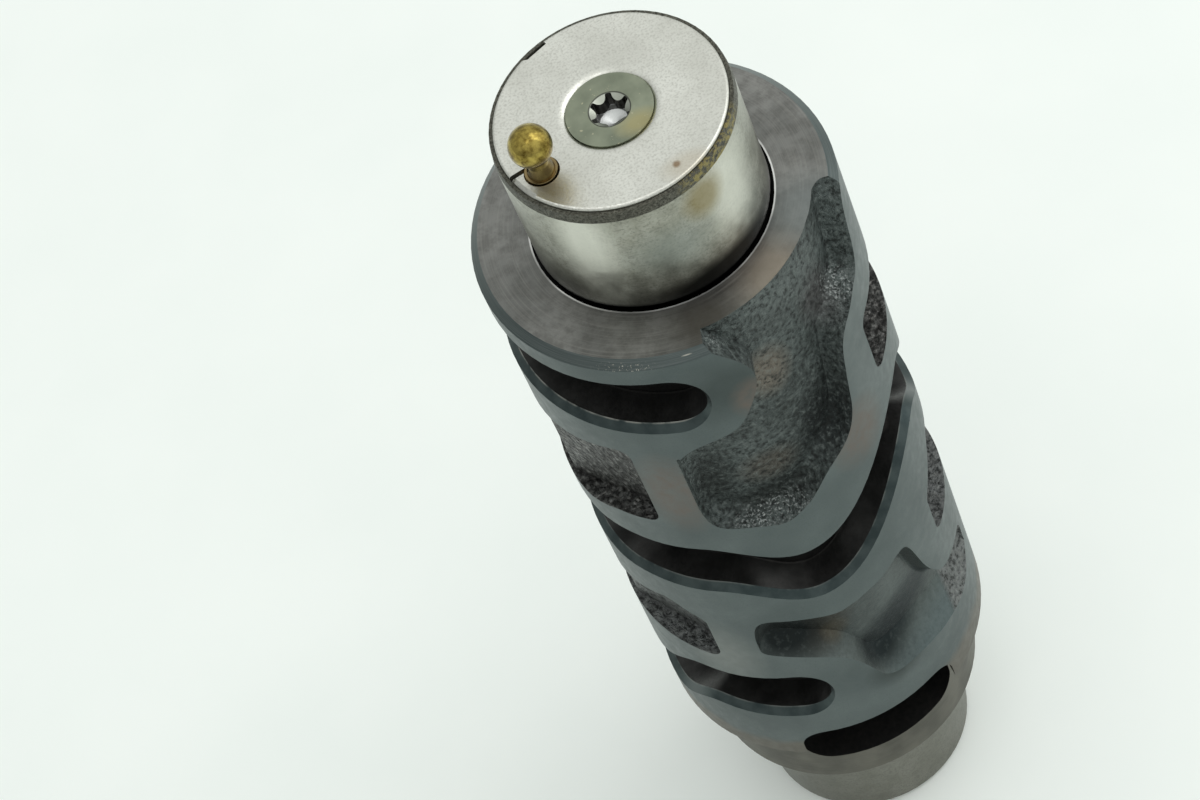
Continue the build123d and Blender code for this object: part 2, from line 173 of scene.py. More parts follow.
def new_finish(name, metallic):
    """New finish: the material, its node tree, its shader and the piece's own coordinates."""
    finish = bpy.data.materials.new(name)
    finish.use_nodes = True
    tree = finish.node_tree
    shader = tree.nodes["Principled BSDF"]
    shader.inputs["Metallic"].default_value = metallic
    place = tree.nodes.new("ShaderNodeTexCoord").outputs["Object"]
    return finish, tree, shader, place


def clouds(tree, place, size, detail=3.0, roughness=0.5):
    """Cloudy pattern from 0 to 1, with blotches about as large as the size in metres."""
    noise = tree.nodes.new("ShaderNodeTexNoise")
    noise.inputs["Scale"].default_value = 1 / size
    noise.inputs["Detail"].default_value = detail
    noise.inputs["Roughness"].default_value = roughness
    tree.links.new(place, noise.inputs["Vector"])
    return noise.outputs["Fac"]


def grains(tree, place, size):
    """Pattern of round grains of about the size in metres: 0 in the middle of each, higher between."""
    cells = tree.nodes.new("ShaderNodeTexVoronoi")
    cells.inputs["Scale"].default_value = 1 / size
    tree.links.new(place, cells.inputs["Vector"])
    return cells.outputs["Distance"]


def from_axis(tree, place):
    """The place seen flat from above, and its distance from the drum's axis."""
    flat = tree.nodes.new("ShaderNodeVectorMath")
    flat.operation = "MULTIPLY"
    flat.inputs[1].default_value = (1, 1, 0)
    tree.links.new(place, flat.inputs[0])
    reach = tree.nodes.new("ShaderNodeVectorMath")
    reach.operation = "LENGTH"
    tree.links.new(flat.outputs["Vector"], reach.inputs[0])
    return flat.outputs["Vector"], reach.outputs["Value"]


def turning_lines(tree, place, pitch, length=3.0):
    """Fine lines round the drum's axis, as a turning tool or a stone leaves them, from 0 to 1."""
    flat, reach = from_axis(tree, place)
    around = tree.nodes.new("ShaderNodeVectorMath")
    around.operation = "NORMALIZE"
    tree.links.new(flat, around.inputs[0])
    long_way = tree.nodes.new("ShaderNodeVectorMath")
    long_way.operation = "SCALE"
    long_way.inputs["Scale"].default_value = length
    tree.links.new(around.outputs["Vector"], long_way.inputs[0])
    upright = tree.nodes.new("ShaderNodeVectorMath")
    upright.operation = "MULTIPLY_ADD"
    upright.inputs[1].default_value = (0, 0, 1 / pitch)
    tree.links.new(place, upright.inputs[0])
    tree.links.new(long_way.outputs["Vector"], upright.inputs[2])
    outwards = arithmetic(tree, "DIVIDE", reach, pitch)
    noise = tree.nodes.new("ShaderNodeTexNoise")
    noise.noise_dimensions = "4D"
    noise.inputs["Scale"].default_value = 1
    noise.inputs["Detail"].default_value = 2
    tree.links.new(upright.outputs["Vector"], noise.inputs["Vector"])
    tree.links.new(outwards, noise.inputs["W"])
    return noise.outputs["Fac"]


def arithmetic(tree, operation, first, second):
    """Sum, product or the like of two values, each a number or another node's output."""
    node = tree.nodes.new("ShaderNodeMath")
    node.operation = operation
    for value, socket in zip((first, second), node.inputs):
        if isinstance(value, (int, float)):
            socket.default_value = value
        else:
            tree.links.new(value, socket)
    return node.outputs["Value"]


def stretch(tree, value, low, high, to_low=0.0, to_high=1.0):
    """Stretch a pattern so that low and high become the two new values, and hold it between them."""
    node = tree.nodes.new("ShaderNodeMapRange")
    tree.links.new(value, node.inputs["Value"])
    node.inputs["From Min"].default_value = low
    node.inputs["From Max"].default_value = high
    node.inputs["To Min"].default_value = to_low
    node.inputs["To Max"].default_value = to_high
    return node.outputs["Result"]


def height(tree, place):
    """Height above the drum's lower end, in metres."""
    split = tree.nodes.new("ShaderNodeSeparateXYZ")
    tree.links.new(place, split.inputs["Vector"])
    return split.outputs["Z"]


def patch(tree, place, middle, size):
    """Soft patch round a point: 1 in its middle and 0 from its edge outwards."""
    mapping = tree.nodes.new("ShaderNodeMapping")
    mapping.vector_type = "TEXTURE"
    mapping.inputs["Location"].default_value = middle
    mapping.inputs["Scale"].default_value = size
    tree.links.new(place, mapping.inputs["Vector"])
    gradient = tree.nodes.new("ShaderNodeTexGradient")
    gradient.gradient_type = "SPHERICAL"
    tree.links.new(mapping.outputs["Vector"], gradient.inputs["Vector"])
    return gradient.outputs["Fac"]


def on_drum(angle, level, reach=LAND_R):
    """Point at an angle in degrees round the drum and a height, in metres."""
    return (reach * cos(radians(angle)), reach * sin(radians(angle)), level)


def blend(tree, factor, first, second):
    """Colour between two, each a linear colour or another node's output."""
    mix = tree.nodes.new("ShaderNodeMix")
    mix.data_type = "RGBA"
    factor_socket, first_socket, second_socket = mix.inputs[0], mix.inputs[6], mix.inputs[7]
    if isinstance(factor, (int, float)):
        factor_socket.default_value = factor
    else:
        tree.links.new(factor, factor_socket)
    for value, socket in ((first, first_socket), (second, second_socket)):
        if isinstance(value, tuple):
            socket.default_value = (*value, 1)
        else:
            tree.links.new(value, socket)
    return mix.outputs[2]


def stain_and_painted_light(tree, place, colour, middle, size, strength, tint, full=0.7):
    """A colour with a soft stain, or a soft patch of painted light or shade, of a tint round a point, at
    full strength where the patch passes full.
    """
    cover = stretch(tree, patch(tree, place, middle, size), 0, full, 0, strength)
    return blend(tree, cover, colour, tint)


def emboss(tree, relief, depth, below=None):
    """Surface relief of a depth in metres, over another relief where one is given."""
    bump = tree.nodes.new("ShaderNodeBump")
    bump.inputs["Strength"].default_value = 1
    bump.inputs["Distance"].default_value = depth
    tree.links.new(relief, bump.inputs["Height"])
    if below is not None:
        tree.links.new(below, bump.inputs["Normal"])
    return bump.outputs["Normal"]


def join(tree, shader, colour, roughness=None, relief=None):
    """Give a shader its colour and, where given, its roughness and relief."""
    for output, name in ((colour, "Base Color"), (roughness, "Roughness"), (relief, "Normal")):
        if output is not None:
            tree.links.new(output, shader.inputs[name])


BLUE_STEEL = (0.085, 0.108, 0.108)
PALE_STEEL = (0.130, 0.152, 0.150)
DARK_STEEL = (0.052, 0.066, 0.066)
BLUSH = (0.150, 0.118, 0.098)
BROWN_STEEL = (0.120, 0.112, 0.094)
BARE_TOP_Z = 0.0326
BARE_EDGE = 0.0008
# Painted shade and painted light on the land, darker at two places in front and lighter low on the left and
# on the right: angle in degrees, height, size, strength and colour
LAND_PAINTED_LIGHT = [
    (-90, 0.1100, (0.007, 0.005, 0.007), 0.8, (0.042, 0.055, 0.053)),
    (-73, 0.0425, (0.005, 0.005, 0.004), 0.9, (0.026, 0.036, 0.034)),
    (-130, 0.0540, (0.006, 0.006, 0.009), 0.8, (0.185, 0.200, 0.190)),
    (-47, 0.0950, (0.004, 0.004, 0.018), 0.5, PALE_STEEL),
]
# Brown blushes of the land: angle in degrees, height and size
BLUSHES = [
    (-120, 0.092, (0.005, 0.004, 0.009)),
    (-56, 0.088, (0.005, 0.005, 0.006)),
    (-84, 0.107, (0.003, 0.003, 0.004)),
    (62, 0.060, (0.006, 0.006, 0.010)),
    (170, 0.090, (0.006, 0.006, 0.008)),
]


def any_patch(tree, place, reach, patches):
    """Soft patches of given angles, heights and sizes on the drum, all in one pattern."""
    pattern = 0.0
    for angle, level, size in patches:
        one = patch(tree, place, on_drum(angle, level, reach), size)
        pattern = arithmetic(tree, "MAXIMUM", pattern, one)
    return pattern


def land_finish():
    """Oxidised and lapped steel: blue grey and satin, with brownish blushes, patches of painted shade and
    painted light, and bare near the neck.
    """
    finish, tree, shader, place = new_finish("land_oxide", 0.85)
    drift = clouds(tree, place, 0.009, detail=2)
    mottle = clouds(tree, place, 0.0012, detail=4, roughness=0.6)
    fine = clouds(tree, place, 0.00018, detail=2)
    lines = turning_lines(tree, place, 0.00009)
    colour = blend(tree, stretch(tree, drift, 0.35, 0.65), DARK_STEEL, PALE_STEEL)
    colour = blend(tree, 0.6, colour, BLUE_STEEL)
    colour = blend(tree, stretch(tree, mottle, 0.45, 0.75, 0, 0.35), colour, PALE_STEEL)
    colour = blend(tree, stretch(tree, fine, 0.5, 0.7, 0, 0.3), colour, DARK_STEEL)
    # Patches of painted shade and painted light over the land
    for angle, level, size, strength, tint in LAND_PAINTED_LIGHT:
        colour = stain_and_painted_light(tree, place, colour, on_drum(angle, level), size, strength, tint)
    blush = stretch(tree, any_patch(tree, place, LAND_R, BLUSHES), 0, 0.6)
    blush = arithmetic(tree, "MULTIPLY", blush, stretch(tree, mottle, 0.3, 0.7, 0.3, 0.8))
    colour = blend(tree, blush, colour, BLUSH)
    ragged = stretch(tree, drift, 0.3, 0.7, -0.0012, 0.0012)
    level = arithmetic(tree, "ADD", height(tree, place), ragged)
    oxide = stretch(tree, level, BARE_TOP_Z - BARE_EDGE, BARE_TOP_Z + BARE_EDGE)
    colour = blend(tree, oxide, BROWN_STEEL, colour)
    roughness = stretch(tree, mottle, 0.3, 0.7, 0.36, 0.5)
    relief = emboss(tree, fine, 0.000004)
    relief = emboss(tree, lines, 0.000004, relief)
    join(tree, shader, colour, roughness, relief)
    return finish


# Stains of the shoulder: angle in degrees, size, strength and colour
SHOULDER_STAINS = [
    (-58, 0.006, 0.60, (0.300, 0.250, 0.200)),
    (-88, 0.005, 0.75, (0.090, 0.081, 0.068)),
    (-30, 0.006, 0.50, (0.220, 0.250, 0.250)),
]
PAINTED_HIGHLIGHT_W = 0.00012


def shoulder_finish():
    """Turned end face: brownish dark grey, with the tool's rings and a painted highlight along the inner
    corner.
    """
    finish, tree, shader, place = new_finish("shoulder_oxide", 0.85)
    drift = clouds(tree, place, 0.007, detail=3)
    smudge = clouds(tree, place, 0.0016, detail=5, roughness=0.65)
    lines = turning_lines(tree, place, 0.00014, 2.0)
    colour = blend(tree, stretch(tree, drift, 0.35, 0.65), (0.165, 0.167, 0.158), (0.245, 0.245, 0.232))
    colour = blend(tree, stretch(tree, smudge, 0.4, 0.62, 0, 0.6), colour, (0.105, 0.104, 0.096))
    colour = blend(tree, stretch(tree, lines, 0.45, 0.8, 0, 0.4), colour, (0.34, 0.335, 0.31))
    for angle, size, strength, tint in SHOULDER_STAINS:
        middle = on_drum(angle, SHOULDER_Z, SHOULDER_MIDDLE_R)
        colour = stain_and_painted_light(tree, place, colour, middle, (size, size, size), strength, tint)
    # Painted highlight: a thin, near-white line along the inner corner
    reach = from_axis(tree, place)[1]
    painted_corner_highlight = stretch(tree, reach, RELIEF_R, RELIEF_R + PAINTED_HIGHLIGHT_W, 1, 0)
    painted_corner_highlight = arithmetic(tree, "MULTIPLY", painted_corner_highlight, stretch(tree, drift, 0.35, 0.6, 0.25, 1))
    colour = blend(tree, painted_corner_highlight, colour, (0.95, 0.95, 0.92))
    roughness = stretch(tree, lines, 0.3, 0.7, 0.36, 0.48)
    relief = emboss(tree, lines, 0.000007)
    join(tree, shader, colour, roughness, emboss(tree, smudge, 0.00001, relief))
    return finish


def chamfer_finish():
    """Turned edge of the shoulder: darker and bluer, with nicks that shine."""
    finish, tree, shader, place = new_finish("chamfer_oxide", 0.9)
    lines = turning_lines(tree, place, 0.00007)
    nicks = clouds(tree, place, 0.00022, detail=3, roughness=0.6)
    spots = patch(tree, place, on_drum(-117, 0.1171), (0.0045, 0.0045, 0.0009))
    nicks = arithmetic(tree, "MULTIPLY", stretch(tree, nicks, 0.6, 0.68), stretch(tree, spots, 0.1, 0.7))
    scratch = patch(tree, place, on_drum(-98, 0.1176), (0.0011, 0.0007, 0.00010))
    bright = arithmetic(tree, "MAXIMUM", nicks, stretch(tree, scratch, 0, 0.3))
    colour = blend(tree, stretch(tree, lines, 0.3, 0.7), (0.072, 0.09, 0.09), (0.14, 0.162, 0.158))
    colour = blend(tree, bright, colour, (0.62, 0.6, 0.52))
    roughness = stretch(tree, lines, 0.3, 0.7, 0.3, 0.42)
    join(tree, shader, colour, roughness, emboss(tree, lines, 0.000006))
    return finish


JOURNALS_PART_Z = 0.1
JOURNALS_PART_EDGE = 0.001


def journal_finish():
    """Ground bearing journal: bright satin with cloudy stains, painted highlights at its sides, painted
    shade in front and darkening it towards the shoulder, a painted black band in the corner, and darker at
    its foot in front on the right.
    """
    finish, tree, shader, place = new_finish("journal_ground", 0.95)
    stains = clouds(tree, place, 0.004, detail=5, roughness=0.6)
    smudge = clouds(tree, place, 0.0016, detail=5, roughness=0.65)
    fine = clouds(tree, place, 0.0003, detail=4, roughness=0.6)
    lines = turning_lines(tree, place, 0.00006)
    level = height(tree, place)
    colour = blend(tree, stretch(tree, stains, 0.38, 0.62), (0.29, 0.29, 0.24), (0.41, 0.41, 0.36))
    colour = blend(tree, stretch(tree, smudge, 0.45, 0.7, 0, 0.6), colour, (0.19, 0.19, 0.155))
    colour = blend(tree, stretch(tree, fine, 0.48, 0.68, 0, 0.6), colour, (0.14, 0.14, 0.118))
    colour = blend(tree, stretch(tree, lines, 0.5, 0.8, 0, 0.3), colour, (0.58, 0.58, 0.52))
    # Painted highlights at the journal's left and right sides, and painted shade in the middle in front
    painted_highlight = (0.78, 0.78, 0.70)
    left = on_drum(-126, 0.1285, JOURNAL_R)
    right = on_drum(-50, 0.1285, JOURNAL_R)
    front = on_drum(-88, 0.1265, JOURNAL_R)
    colour = stain_and_painted_light(tree, place, colour, left, (0.004, 0.004, 0.016), 0.7, painted_highlight)
    colour = stain_and_painted_light(tree, place, colour, right, (0.005, 0.005, 0.012), 0.6, painted_highlight)
    colour = stain_and_painted_light(tree, place, colour, front, (0.006, 0.006, 0.005), 0.5, (0.22, 0.25, 0.235))
    upper = stretch(tree, level, JOURNALS_PART_Z, JOURNALS_PART_Z + JOURNALS_PART_EDGE)
    lower = arithmetic(tree, "SUBTRACT", 1.0, upper)
    colour = blend(tree, arithmetic(tree, "MULTIPLY", lower, 0.62), colour, (0.10, 0.098, 0.085))
    # Painted shade: the journal darkens towards the shoulder
    edge = arithmetic(tree, "ADD", level, stretch(tree, stains, 0.3, 0.7, -0.0018, 0.0018))
    painted_shade = stretch(tree, edge, SHOULDER_Z + 0.0008, SHOULDER_Z + 0.0065, 0.85, 0)
    colour = blend(tree, arithmetic(tree, "MULTIPLY", upper, painted_shade), colour, (0.10, 0.098, 0.084))
    # A near-black patch darkens the journal's foot at the front right
    dark_foot = patch(tree, place, on_drum(-66, SHOULDER_Z + 0.0006, JOURNAL_R), (0.012, 0.012, 0.0034))
    colour = blend(tree, stretch(tree, dark_foot, 0.05, 0.5, 0, 0.96), colour, (0.012, 0.012, 0.011))
    # Painted shade: a near-black band along the corner with the shoulder, where the relief's gap lies
    painted_gap_shade = stretch(tree, level, SHOULDER_Z + 0.0005, SHOULDER_Z + 0.0010, 1, 0)
    colour = blend(tree, arithmetic(tree, "MULTIPLY", upper, painted_gap_shade), colour, (0.006, 0.006, 0.006))
    smear = on_drum(-66, 0.1312, JOURNAL_R)
    colour = stain_and_painted_light(tree, place, colour, smear, (0.0032, 0.0032, 0.0036), 0.7, (0.24, 0.19, 0.075), 0.6)
    roughness = stretch(tree, stains, 0.35, 0.65, 0.3, 0.42)
    relief = emboss(tree, lines, 0.000004)
    relief = emboss(tree, fine, 0.000006, relief)
    join(tree, shader, colour, roughness, relief)
    return finish


def rough_band_finish():
    """Rough rim above the journal: grey and speckled, with a golden residue at the front."""
    finish, tree, shader, place = new_finish("rim_as_cast", 0.6)
    speckles = clouds(tree, place, 0.00028, detail=5, roughness=0.75)
    drift = clouds(tree, place, 0.0025, detail=2)
    colour = blend(tree, stretch(tree, speckles, 0.4, 0.65), (0.036, 0.035, 0.026), (0.185, 0.183, 0.148))
    colour = blend(tree, stretch(tree, drift, 0.4, 0.7, 0, 0.5), colour, (0.07, 0.07, 0.055))
    residue = patch(tree, place, on_drum(-50, 0.1343, 0.0128), (0.0065, 0.0065, 0.003))
    chips = clouds(tree, place, 0.0005, detail=4, roughness=0.7)
    flakes = stretch(tree, chips, 0.46, 0.56)
    flakes = arithmetic(tree, "MULTIPLY", stretch(tree, residue, 0.05, 0.4), flakes)
    colour = blend(tree, flakes, colour, (0.27, 0.23, 0.09))
    shader.inputs["Roughness"].default_value = 0.5
    relief = emboss(tree, speckles, 0.00012)
    join(tree, shader, colour, relief=emboss(tree, chips, 0.0002, relief))
    return finish


def neck_finish():
    """Turned neck under the land, left without oxide: dull brownish grey."""
    finish, tree, shader, place = new_finish("neck_steel", 0.85)
    stains = clouds(tree, place, 0.005, detail=4)
    lines = turning_lines(tree, place, 0.00012)
    colour = blend(tree, stretch(tree, stains, 0.35, 0.65), (0.085, 0.082, 0.068), (0.14, 0.134, 0.112))
    roughness = stretch(tree, lines, 0.3, 0.7, 0.42, 0.52)
    join(tree, shader, colour, roughness, emboss(tree, lines, 0.000006))
    return finish


def groove_finish():
    """Milled groove: dark grey walls, a floor darkened by painted shade, a painted highlight along the
    corner between, and a painted sheen on one side.
    """
    finish, tree, shader, place = new_finish("groove_oxide", 0.9)
    stains = clouds(tree, place, 0.003, detail=4)
    fine = clouds(tree, place, 0.0003, detail=3)
    reach = from_axis(tree, place)[1]
    colour = blend(tree, stretch(tree, stains, 0.35, 0.7), (0.034, 0.034, 0.033), (0.072, 0.071, 0.069))
    # Painted shade: the floor darker than the walls
    floor = stretch(tree, reach, GROOVE_FLOOR_R + 0.0001, GROOVE_FLOOR_R + 0.0004, 0.45, 0)
    colour = blend(tree, floor, colour, (0.018, 0.018, 0.018))
    # Painted highlight: a paler line along the corner between floor and walls
    inner = stretch(tree, reach, GROOVE_FLOOR_R + 0.00008, GROOVE_FLOOR_R + 0.00015)
    outer = stretch(tree, reach, GROOVE_FLOOR_R + 0.00025, GROOVE_FLOOR_R + 0.0004, 1, 0)
    painted_corner_highlight = arithmetic(tree, "MULTIPLY", arithmetic(tree, "MULTIPLY", inner, outer), 0.6)
    colour = blend(tree, painted_corner_highlight, colour, (0.13, 0.128, 0.122))
    # Painted sheen on the groove's right side
    painted_sheen_place = on_drum(-33, 0.08, 0.0165)
    colour = stain_and_painted_light(tree, place, colour, painted_sheen_place, (0.0018, 0.0018, 0.006), 0.8, (0.2, 0.19, 0.18), 0.6)
    roughness = stretch(tree, fine, 0.3, 0.7, 0.34, 0.5)
    join(tree, shader, colour, roughness, emboss(tree, fine, 0.000012))
    return finish


def lip_finish():
    """Bevelled lip along each groove: blue grey, with a painted highlight as a thin bright line along its
    inner edge, fainter low down.
    """
    finish, tree, shader, place = new_finish("lip_oxide", 0.9)
    stains = clouds(tree, place, 0.002, detail=3)
    colour = blend(tree, stretch(tree, stains, 0.35, 0.65), (0.038, 0.052, 0.053), (0.064, 0.082, 0.082))
    # Painted highlight along the lip's inner edge, fainter on the lower grooves
    painted_edge_highlight = stretch(tree, from_axis(tree, place)[1], LIP_R + 0.00003, LIP_R + 0.00015, 1, 0)
    painted_edge_highlight = arithmetic(tree, "MULTIPLY", painted_edge_highlight, stretch(tree, stains, 0.38, 0.55, 0, 0.8))
    painted_edge_highlight = arithmetic(tree, "MULTIPLY", painted_edge_highlight, stretch(tree, height(tree, place), 0.09, 0.1, 0.3, 1))
    colour = blend(tree, painted_edge_highlight, colour, (0.33, 0.33, 0.30))
    roughness = stretch(tree, stains, 0.3, 0.7, 0.32, 0.44)
    join(tree, shader, colour, roughness)
    return finish


def recess_finish():
    """Milled recess at the lower corner: oxide painted black as shade, and bare where it cuts through the
    land's rim.
    """
    finish, tree, shader, place = new_finish("recess_oxide_and_shade", 0.5)
    fine = clouds(tree, place, 0.0006, detail=3)
    # Painted shade: near-black colour for the deep recess
    colour = blend(tree, stretch(tree, fine, 0.35, 0.7), (0.004, 0.004, 0.004), (0.012, 0.011, 0.01))
    rim = stretch(tree, from_axis(tree, place)[1], NECK_R - 0.0001, NECK_R + 0.0001)
    colour = blend(tree, rim, colour, BROWN_STEEL)
    shader.inputs["Roughness"].default_value = 0.6
    join(tree, shader, colour, relief=emboss(tree, fine, 0.00001))
    return finish


# Stains of the cast skin in front, with painted shade and a painted reflection among them: angle in
# degrees, height, size, strength and colour
CAST_STAINS_AND_PAINTED_SHADE = [
    (-87, 0.0900, (0.0045, 0.004, 0.0035), 0.50, (0.115, 0.088, 0.065)),
    (-75, 0.1055, (0.0035, 0.004, 0.0050), 0.75, (0.190, 0.160, 0.125)),
    (-45, 0.1090, (0.0035, 0.004, 0.0060), 0.60, (0.080, 0.068, 0.070)),
    # Painted shade near the upper pocket's right wall, in its lower right corner, along its bottom and at
    # the rib's foot
    (-41, 0.1010, (0.0040, 0.004, 0.0045), 0.80, (0.022, 0.027, 0.027)),
    (-61, 0.0915, (0.0055, 0.005, 0.0080), 0.90, (0.017, 0.021, 0.021)),
    (-88, 0.0850, (0.0075, 0.004, 0.0028), 0.70, (0.026, 0.030, 0.028)),
    (-108, 0.0910, (0.0030, 0.003, 0.0070), 0.70, (0.026, 0.030, 0.028)),
    (-80, 0.0545, (0.0070, 0.005, 0.0080), 0.60, (0.050, 0.060, 0.058)),
    # Brown dirt and painted shade in the deep left end of the lower pocket, near black at its end
    (-93, 0.0560, (0.0050, 0.004, 0.0060), 0.90, (0.032, 0.029, 0.022)),
    (-107, 0.0555, (0.0055, 0.004, 0.0070), 1.00, (0.008, 0.012, 0.012)),
    (-89, 0.0530, (0.0022, 0.002, 0.0022), 0.60, (0.080, 0.070, 0.050)),
    # Painted reflection on the lower pocket's smoother, land-like ramp
    (-50, 0.0400, (0.0130, 0.013, 0.0045), 0.90, (0.094, 0.120, 0.123)),
    # Painted shade and dark dirt along the lower pocket's valley
    (-76, 0.0455, (0.0050, 0.004, 0.0045), 1.00, (0.012, 0.018, 0.019)),
    (-63, 0.0475, (0.0055, 0.004, 0.0040), 0.95, (0.014, 0.020, 0.022)),
    (-50, 0.0490, (0.0055, 0.004, 0.0040), 0.90, (0.018, 0.026, 0.028)),
    # Lighter at the top of the upper pocket, under the shoulder
    (-52, 0.1145, (0.0080, 0.006, 0.0050), 0.60, (0.135, 0.155, 0.150)),
]
# Painted glints on the pockets' rims: their distance from the axis, then angle in degrees, height, size
PAINTED_GLINT_R = 0.0185
PAINTED_GLINTS = [
    (-37, 0.1075, (0.0028, 0.003, 0.0035)),
    (-93, 0.1165, (0.0030, 0.0016, 0.0016)),
]


def cast_finish():
    """As-cast skin of the pockets: grey and pitted, coarse at the sides, smooth low down in front, with
    painted shade near the walls and in the deep parts, a painted reflection on the lower ramp and painted
    glints.
    """
    finish, tree, shader, place = new_finish("cast_skin", 0.75)
    drift = clouds(tree, place, 0.006, detail=3)
    pits = clouds(tree, place, 0.0006, detail=5, roughness=0.65)
    ripple = clouds(tree, place, 0.0014, detail=3)
    glints = clouds(tree, place, 0.00028, detail=3, roughness=0.6)
    grain = grains(tree, place, 0.0009)
    split = tree.nodes.new("ShaderNodeSeparateXYZ")
    tree.links.new(place, split.inputs["Vector"])
    across, deep, level = split.outputs["X"], split.outputs["Y"], split.outputs["Z"]

    left = stretch(tree, across, -0.0112, -0.0104, 1, 0)
    under_shoulder = stretch(tree, level, 0.1012, 0.1016, 1, 0)
    right = arithmetic(tree, "MULTIPLY", stretch(tree, across, 0.0142, 0.0149), under_shoulder)
    back = stretch(tree, deep, 0.002, 0.004)
    side = arithmetic(tree, "MAXIMUM", left, arithmetic(tree, "MAXIMUM", right, back))
    coarse = arithmetic(tree, "MULTIPLY", side, stretch(tree, level, 0.066, 0.072, 0.4, 1))
    front = arithmetic(tree, "SUBTRACT", 1.0, side)
    smooth = arithmetic(tree, "MULTIPLY", front, stretch(tree, level, 0.064, 0.068, 1, 0))
    pitting = stretch(tree, smooth, 0, 1, 1, 0.2)

    colour = blend(tree, stretch(tree, drift, 0.35, 0.65), (0.060, 0.072, 0.069), (0.105, 0.124, 0.120))
    colour = blend(tree, arithmetic(tree, "MULTIPLY", side, 0.85), colour, (0.098, 0.096, 0.092))
    lower = arithmetic(tree, "MULTIPLY", side, stretch(tree, level, 0.064, 0.068, 0.85, 0))
    colour = blend(tree, lower, colour, (0.185, 0.195, 0.193))
    for angle, level_here, size, strength, tint in CAST_STAINS_AND_PAINTED_SHADE:
        spot = patch(tree, place, on_drum(angle, level_here, CAST_R), size)
        spot = arithmetic(tree, "MULTIPLY", stretch(tree, spot, 0, 0.6, 0, strength), front)
        colour = blend(tree, spot, colour, tint)
    dark = arithmetic(tree, "MULTIPLY", stretch(tree, pits, 0.38, 0.50, 0.85, 0), pitting)
    colour = blend(tree, dark, colour, (0.016, 0.018, 0.017))
    light = arithmetic(tree, "MULTIPLY", stretch(tree, pits, 0.53, 0.68, 0, 0.5), pitting)
    colour = blend(tree, light, colour, (0.21, 0.235, 0.225))
    gaps = arithmetic(tree, "MULTIPLY", coarse, stretch(tree, grain, 0.4, 0.7, 0, 0.7))
    colour = blend(tree, gaps, colour, (0.022, 0.021, 0.020))
    speck = arithmetic(tree, "MULTIPLY", coarse, stretch(tree, pits, 0.54, 0.66, 0, 0.6))
    colour = blend(tree, speck, colour, (0.30, 0.29, 0.275))

    # Painted glints on the bottom wall of the upper pocket and on the rims
    shelf = patch(tree, place, on_drum(-92, 0.0835, 0.0188), (0.0065, 0.003, 0.0018))
    painted_shine = arithmetic(tree, "MAXIMUM", shelf, any_patch(tree, place, PAINTED_GLINT_R, PAINTED_GLINTS))
    glints = stretch(tree, glints, 0.52, 0.66, 0, 0.85)
    painted_shine = arithmetic(tree, "MULTIPLY", stretch(tree, painted_shine, 0.05, 0.7), glints)
    colour = blend(tree, painted_shine, colour, (0.50, 0.53, 0.52))

    relief = emboss(tree, arithmetic(tree, "MULTIPLY", pits, pitting), 0.0004)
    relief = emboss(tree, arithmetic(tree, "MULTIPLY", ripple, pitting), 0.0003, relief)
    relief = emboss(tree, arithmetic(tree, "MULTIPLY", coarse, grain), -0.0004, relief)
    shader.inputs["Roughness"].default_value = 0.42
    join(tree, shader, colour, relief=relief)
    return finish


finishes = {
    "land": land_finish(),
    "shoulder": shoulder_finish(),
    "chamfer": chamfer_finish(),
    "journal": journal_finish(),
    "rough_band": rough_band_finish(),
    "neck": neck_finish(),
    "groove": groove_finish(),
    "lip": lip_finish(),
    "recess": recess_finish(),
    "cast": cast_finish(),
}
for name in SURFACES:
    drum.data.materials.append(finishes[name])
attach(drum, "drum")
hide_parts("drum_body")


# End plate
# A stamped disc of bright steel that closes the drum's end and holds the contact pin in. It is pressed
# against its seat by the screw; its rim is rolled and has a slit for the pin and a notch that sets it.
PLATE_TOP_Z = 0.1353


def dress(node, finish):
    """Give a CAD node its finish, on the object's own slots."""
    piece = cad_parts[node]
    for material_slot in piece.material_slots:
        material_slot.link = "OBJECT"
        material_slot.material = finish


def plate_finish():
    """Tumbled sheet steel: pale warm grey with a very fine grain and a small brown spot."""
    finish, tree, shader, place = new_finish("plate_tumbled", 1.0)
    drift = clouds(tree, place, 0.006, detail=3)
    fine = clouds(tree, place, 0.00025, detail=3)
    colour = blend(tree, stretch(tree, drift, 0.35, 0.65), (0.64, 0.638, 0.585), (0.76, 0.76, 0.705))
    colour = blend(tree, stretch(tree, fine, 0.45, 0.7, 0, 0.6), colour, (0.46, 0.455, 0.41))
    beside = (0.005, -0.0105, PLATE_TOP_Z)
    colour = stain_and_painted_light(tree, place, colour, beside, (0.0035, 0.002, 0.002), 0.3, (0.5, 0.4, 0.26), 0.6)
    spot = patch(tree, place, (0.004, -0.010, PLATE_TOP_Z), (0.0006, 0.0006, 0.0006))
    colour = blend(tree, stretch(tree, spot, 0.1, 0.6, 0, 0.75), colour, (0.2, 0.11, 0.04))
    roughness = stretch(tree, fine, 0.3, 0.7, 0.3, 0.4)
    join(tree, shader, colour, roughness, emboss(tree, fine, 0.000012))
    return finish


dress("end_plate", plate_finish())


# End screw
# A countersunk steel screw with a six-lobe recess, blackened to an olive grey, with a golden sheen of oil.
# It is turned into the middle of the drum's end and holds the plate down. The recess has a conical mouth.
MOUTH_R = 0.00222
MOUTH_FOOT_R = 0.0015
MOUTH_FOOT_Z = 0.13475
MOUTH_DEPTH = 0.0005
MOUTH_SLOPE = MOUTH_DEPTH / (MOUTH_R - MOUTH_FOOT_R)
MOUTH_TIP_Z = MOUTH_FOOT_Z - MOUTH_FOOT_R * MOUTH_SLOPE
RECESS_BOTTOM_Z = 0.13326


